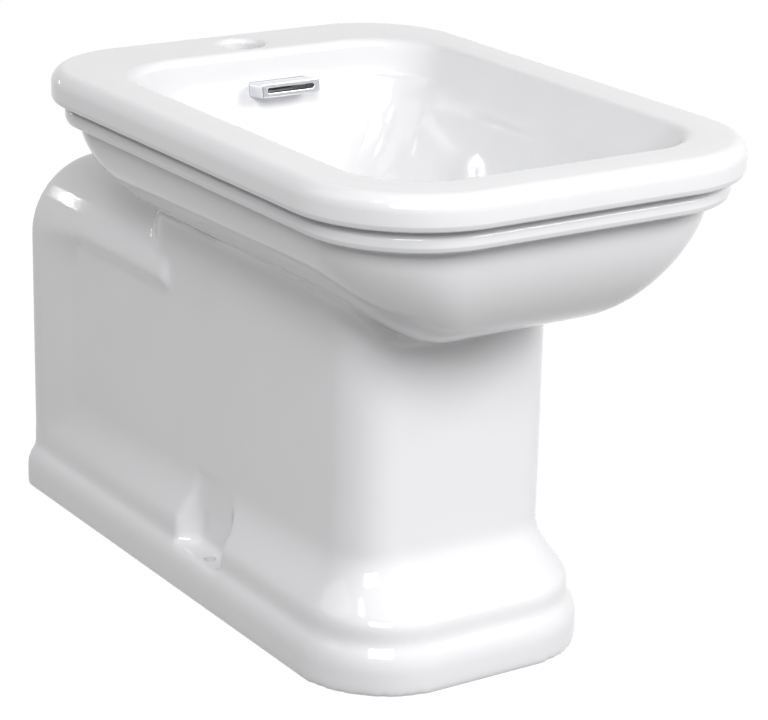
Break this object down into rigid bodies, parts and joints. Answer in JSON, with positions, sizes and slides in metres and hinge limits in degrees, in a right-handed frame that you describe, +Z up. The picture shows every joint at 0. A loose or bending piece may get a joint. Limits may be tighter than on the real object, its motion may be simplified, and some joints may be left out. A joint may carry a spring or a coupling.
{
  "type": "bidet",
  "caption": "Back-to-wall floor bidet in white glazed ceramic, with a tap hole, an overflow cover and a push-to-close waste.",
  "frame": {"origin": "middle of the bounding box at floor level", "axes": "+X to the right seen from the front, +Y to the wall, +Z up"},
  "size_m": [0.37, 0.65, 0.42],
  "materials": {
    "glaze": "gloss",
    "chrome": "polished",
    "plated_brass": "satin",
    "black_rubber": "matt",
    "white_plastic": "satin",
    "spring_steel": "satin"
  },
  "bodies": {
    "housing": {"ceramic_body": "glaze", "overflow_cover": "chrome", "overflow_insert": "white_plastic", "overflow_seal": "black_rubber", "waste_body": "chrome", "waste_flange_seal": "black_rubber", "outlet_gasket": "black_rubber", "slip_washer": "white_plastic", "back_nut": "plated_brass", "cartridge_barrel": "white_plastic", "cartridge_cap": "white_plastic", "cartridge_spring": "spring_steel"},
    "plug": {"plug_stem": "plated_brass", "stem_nut": "plated_brass", "plug_cap": "chrome", "plug_seal": "black_rubber"}
  },
  "joints": [
    {"name": "plug_slide", "type": "slide", "parent": "housing", "child": "plug", "axis": [0, 0, 1], "range_m": [0, 0.009], "deforming": ["cartridge_spring"]}
  ]
}
